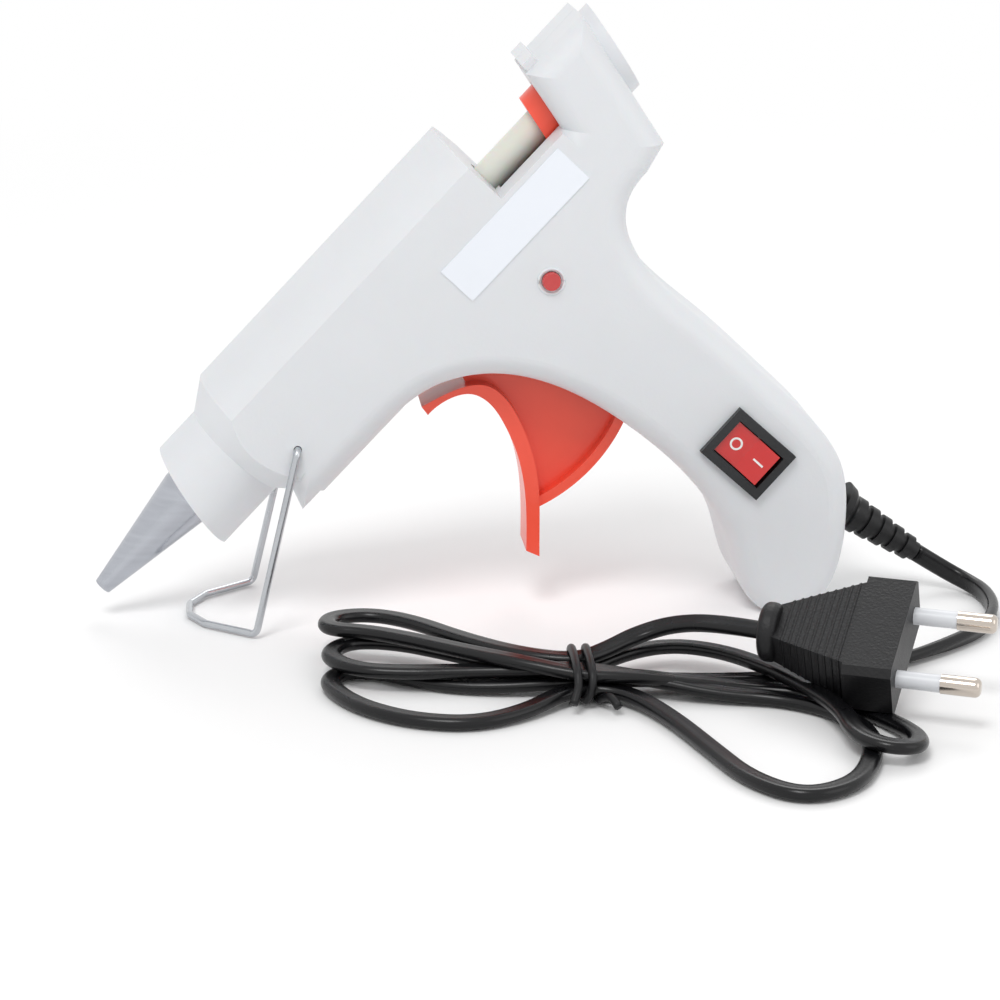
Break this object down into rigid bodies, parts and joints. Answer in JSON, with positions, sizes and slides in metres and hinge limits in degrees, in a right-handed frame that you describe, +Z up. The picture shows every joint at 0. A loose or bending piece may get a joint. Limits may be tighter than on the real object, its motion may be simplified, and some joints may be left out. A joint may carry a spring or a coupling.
{
  "type": "hot glue gun",
  "caption": "Small pistol hot-melt glue gun on its wire stand, with trigger feed, rocker switch, stick inlet ring and a tied mains cord ending in a flat two-pin plug.",
  "frame": {"origin": "on the floor, under the middle of the gun without its cord", "axes": "+X from nozzle to grip, +Y to the gun's right side, +Z up; the gun's mid-plane is Y = 0"},
  "size_m": [0.2058, 0.1457, 0.1349],
  "materials": {
    "housing_plastic": "satin",
    "orange_plastic": "satin",
    "nozzle_metal": "polished",
    "chamber_metal": "satin",
    "steel": "zinc plated",
    "screw_steel": "zinc plated",
    "ceramic": "matte",
    "silicone": "satin",
    "hot_melt": "translucent",
    "switch_black": "pebbled",
    "switch_red": "glossy",
    "brass_blade": "satin",
    "wire_insulation": "satin",
    "lens_red": "glossy",
    "board_green": "matte",
    "label_white": "satin",
    "cord_black": "glossy",
    "plug_black": "satin",
    "sleeve_pale": "satin",
    "nickel": "polished"
  },
  "bodies": {
    "housing": {"left_housing": "housing_plastic", "right_housing": "housing_plastic", "housing_screws": "screw_steel", "nozzle": "nozzle_metal", "melt_chamber": "chamber_metal", "nose_collar": "ceramic", "heater_plate": "ceramic", "heater_clip": "steel", "inlet_sleeve": "silicone", "sleeve_clamp": "steel", "inlet_ring": "housing_plastic", "pivot_pin": "steel", "return_spring": "steel", "spring_post": "steel", "switch_body": "switch_black", "switch_terminals": "brass_blade", "supply_wires": "wire_insulation", "heater_wires": "wire_insulation", "indicator_lens": "lens_red", "indicator_board": "board_green", "side_label": "label_white", "strain_relief": "cord_black", "inner_cord": "cord_black", "cord_clamp": "switch_black", "cord_lead": "cord_black", "cord_hank": "cord_black", "cord_tie": "plug_black", "plug_lead": "cord_black", "plug_body": "plug_black", "plug_sleeves": "sleeve_pale", "plug_pins": "nickel"},
    "trigger": {"trigger": "orange_plastic"},
    "carrier": {"stick_carrier": "orange_plastic", "feed_links": "steel", "gripper_pin": "steel", "glue_stick": "hot_melt"},
    "gripper": {"stick_gripper": "steel"},
    "rocker": {"switch_rocker": "switch_red"},
    "stand": {"wire_stand": "steel"}
  },
  "joints": [
    {"name": "trigger_pull", "type": "hinge", "parent": "housing", "child": "trigger", "pos_m": [-0.00169, 0, 0.05962], "axis": [0, -1, 0], "range_deg": [0, 26], "stiffness_Nm_per_rad": 0.15, "springref_deg": -20.05},
    {"name": "carrier_slide", "type": "slide", "parent": "housing", "child": "carrier", "axis": [-0.6909, 0, -0.723], "range_m": [0, 0.0073]},
    {"name": "gripper_tilt", "type": "hinge", "parent": "carrier", "child": "gripper", "pos_m": [0.02727, 0, 0.11106], "axis": [0, 1, 0], "range_deg": [0, 9.2]},
    {"name": "switch_rock", "type": "hinge", "parent": "housing", "child": "rocker", "pos_m": [0.0601, -0.0146, 0.0382], "axis": [0.6691, 0, 0.7431], "range_deg": [0, 18]},
    {"name": "stand_fold", "type": "hinge", "parent": "housing", "child": "stand", "pos_m": [-0.0387, 0, 0.04173], "axis": [0, -1, 0], "range_deg": [0, 85]}
  ],
  "couplings": [
    {"joint": "carrier_slide", "follows": "trigger_pull", "m_per_rad": 0.015863},
    {"joint": "gripper_tilt", "follows": "trigger_pull", "ratio": 0.34615}
  ]
}
